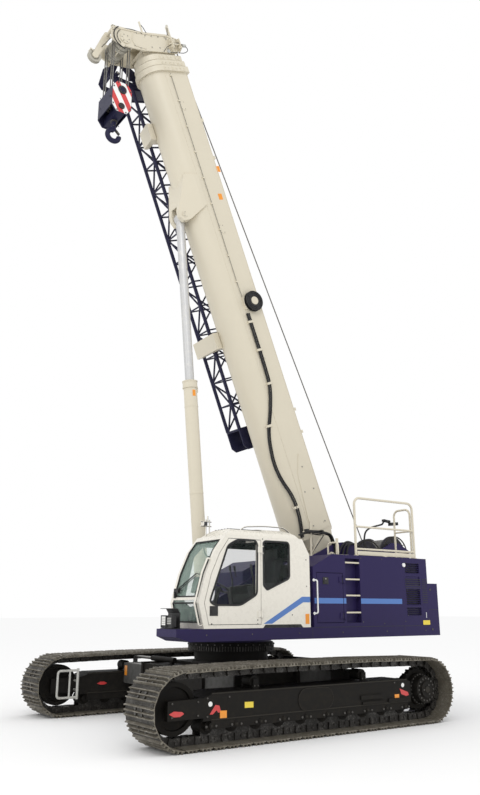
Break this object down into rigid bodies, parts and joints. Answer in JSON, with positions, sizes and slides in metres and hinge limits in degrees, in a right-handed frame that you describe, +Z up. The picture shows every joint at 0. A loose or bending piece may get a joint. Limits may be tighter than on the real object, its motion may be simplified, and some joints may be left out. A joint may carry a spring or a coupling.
{
  "type": "crawler crane",
  "caption": "Crawler crane with telescopic box boom, luffing cylinder, stowed lattice jib, side cab, hook block and extendable crawlers.",
  "frame": {"origin": "middle of the machine's footprint on the ground, below the centre of its bounding box", "axes": "+X forward over the hook, +Y to the machine's left, +Z up"},
  "size_m": [7.1372, 4.67, 12.5983],
  "materials": {
    "shoe_steel": "worn khaki grey steel",
    "chassis_black": "satin black paint",
    "bearing_steel": "machined steel",
    "navy_paint": "gloss navy paint",
    "cream_paint": "gloss cream paint",
    "cab_white": "gloss off-white paint",
    "rod_chrome": "hard chrome plate",
    "tinted_glass": "green tinted glass",
    "seat_cloth": "dark seat cloth",
    "console_plastic": "textured dark plastic",
    "rope_steel": "greased steel rope",
    "sheave_nylon": "cast nylon",
    "step_grey": "satin grey paint",
    "engine_iron": "painted casting"
  },
  "bodies": {
    "undercarriage": {"carbody": "chassis_black", "slew_ring": "bearing_steel"},
    "crawler_left": {"track_left": "shoe_steel", "track_frame_left": "chassis_black", "wheels_left": "chassis_black", "step_left": "step_grey"},
    "crawler_right": {"track_right": "shoe_steel", "track_frame_right": "chassis_black", "wheels_right": "chassis_black", "step_right": "step_grey"},
    "superstructure": {"turret": "navy_paint", "deck_left": "navy_paint", "deck_right": "navy_paint", "deck_lamps": "chassis_black", "hood_left": "navy_paint", "hood_grille": "navy_paint", "hood_wrap_left": "navy_paint", "hood_inner_left": "navy_paint", "hood_right": "navy_paint", "hood_wrap_right": "navy_paint", "hood_inner_right": "navy_paint", "engine": "engine_iron", "counterweight": "navy_paint", "cab_left": "cab_white", "cab_right": "cab_white", "cab_floor": "chassis_black", "cab_front": "cab_white", "cab_shell": "cab_white", "cab_roof": "cab_white", "cab_glass_front": "tinted_glass", "cab_glass_sides": "tinted_glass", "cab_seat": "seat_cloth", "cab_consoles": "console_plastic", "cab_rail": "cab_white", "hood_rails": "cream_paint", "ladder": "cream_paint", "guide_mast": "cream_paint"},
    "cab_door": {"cab_door": "cab_white", "cab_door_glass": "tinted_glass"},
    "hood_door": {"hood_door": "navy_paint"},
    "winch_main": {"winch_main": "rope_steel"},
    "winch_aux": {"winch_aux": "rope_steel"},
    "boom_base": {"boom_base": "cream_paint", "hose_reel": "chassis_black", "jib": "navy_paint", "jib_lacing": "navy_paint", "jib_end_plates": "navy_paint", "jib_foot": "navy_paint"},
    "boom_mid_1": {"boom_mid_1": "cream_paint"},
    "boom_mid_2": {"boom_mid_2": "cream_paint"},
    "boom_tip": {"boom_tip": "cream_paint", "boom_head": "cream_paint", "head_sheaves": "sheave_nylon", "rooster": "cream_paint"},
    "luff_rod": {"luff_rod": "rod_chrome"},
    "luff_barrel": {"luff_barrel": "cream_paint"},
    "hook_block": {"hook_block": "navy_paint", "block_sheaves": "sheave_nylon", "hoist_falls": "rope_steel"},
    "hook": {"hook": "navy_paint"}
  },
  "joints": [
    {"name": "slew", "type": "hinge", "parent": "undercarriage", "child": "superstructure", "pos_m": [0.36635, 0, 1.1897], "axis": [0, 0, 1], "continuous": true},
    {"name": "crawler_left_slide", "type": "slide", "parent": "undercarriage", "child": "crawler_left", "axis": [0, -1, 0], "range_m": [0, 0.6]},
    {"name": "crawler_right_slide", "type": "slide", "parent": "undercarriage", "child": "crawler_right", "axis": [0, 1, 0], "range_m": [0, 0.6]},
    {"name": "boom_luff", "type": "hinge", "parent": "superstructure", "child": "boom_base", "pos_m": [-1.51365, 0, 2.62], "axis": [0, -1, 0], "range_deg": [-68.5, 11.5]},
    {"name": "cylinder_tilt", "type": "hinge", "parent": "boom_base", "child": "luff_rod", "pos_m": [1.55474, 0, 8.70698], "axis": [0, -1, 0], "range_deg": [-9.9, 1.7]},
    {"name": "cylinder_stroke", "type": "slide", "parent": "luff_rod", "child": "luff_barrel", "axis": [0.09, 0, 0.9959], "range_m": [-0.48, 2.85]},
    {"name": "extend_1", "type": "slide", "parent": "boom_base", "child": "boom_mid_1", "axis": [0.3665, 0, 0.9304], "range_m": [0, 7.75]},
    {"name": "extend_2", "type": "slide", "parent": "boom_mid_1", "child": "boom_mid_2", "axis": [0.3665, 0, 0.9304], "range_m": [0, 7.75]},
    {"name": "extend_3", "type": "slide", "parent": "boom_mid_2", "child": "boom_tip", "axis": [0.3665, 0, 0.9304], "range_m": [0, 7.75]},
    {"name": "hook_hang", "type": "hinge", "parent": "boom_tip", "child": "hook_block", "pos_m": [2.98746, 0, 11.83665], "axis": [0, -1, 0], "range_deg": [-11.6, 68.6]},
    {"name": "hook_swivel", "type": "hinge", "parent": "hook_block", "child": "hook", "pos_m": [2.98746, 0, 10.35165], "axis": [0, 0, 1], "continuous": true},
    {"name": "cab_door_hinge", "type": "hinge", "parent": "superstructure", "child": "cab_door", "pos_m": [0.79635, 1.466, 2.1], "axis": [0, 0, 1], "range_deg": [0, 90]},
    {"name": "hood_door_hinge", "type": "hinge", "parent": "superstructure", "child": "hood_door", "pos_m": [-0.87365, 1.466, 1.9], "axis": [0, 0, 1], "range_deg": [0, 90]},
    {"name": "winch_main_turn", "type": "hinge", "parent": "superstructure", "child": "winch_main", "pos_m": [-2.51865, 0, 2.645], "axis": [0, 1, 0], "continuous": true},
    {"name": "winch_aux_turn", "type": "hinge", "parent": "superstructure", "child": "winch_aux", "pos_m": [-3.23365, 0, 2.75], "axis": [0, 1, 0], "continuous": true}
  ],
  "couplings": [
    {"joint": "cylinder_tilt", "follows": "boom_luff", "ratio": 0.1439},
    {"joint": "cylinder_stroke", "follows": "boom_luff", "m_per_rad": -2.374},
    {"joint": "hook_hang", "follows": "boom_luff", "ratio": -1},
    {"joint": "extend_2", "follows": "extend_1", "ratio": 1},
    {"joint": "extend_3", "follows": "extend_1", "ratio": 1}
  ]
}
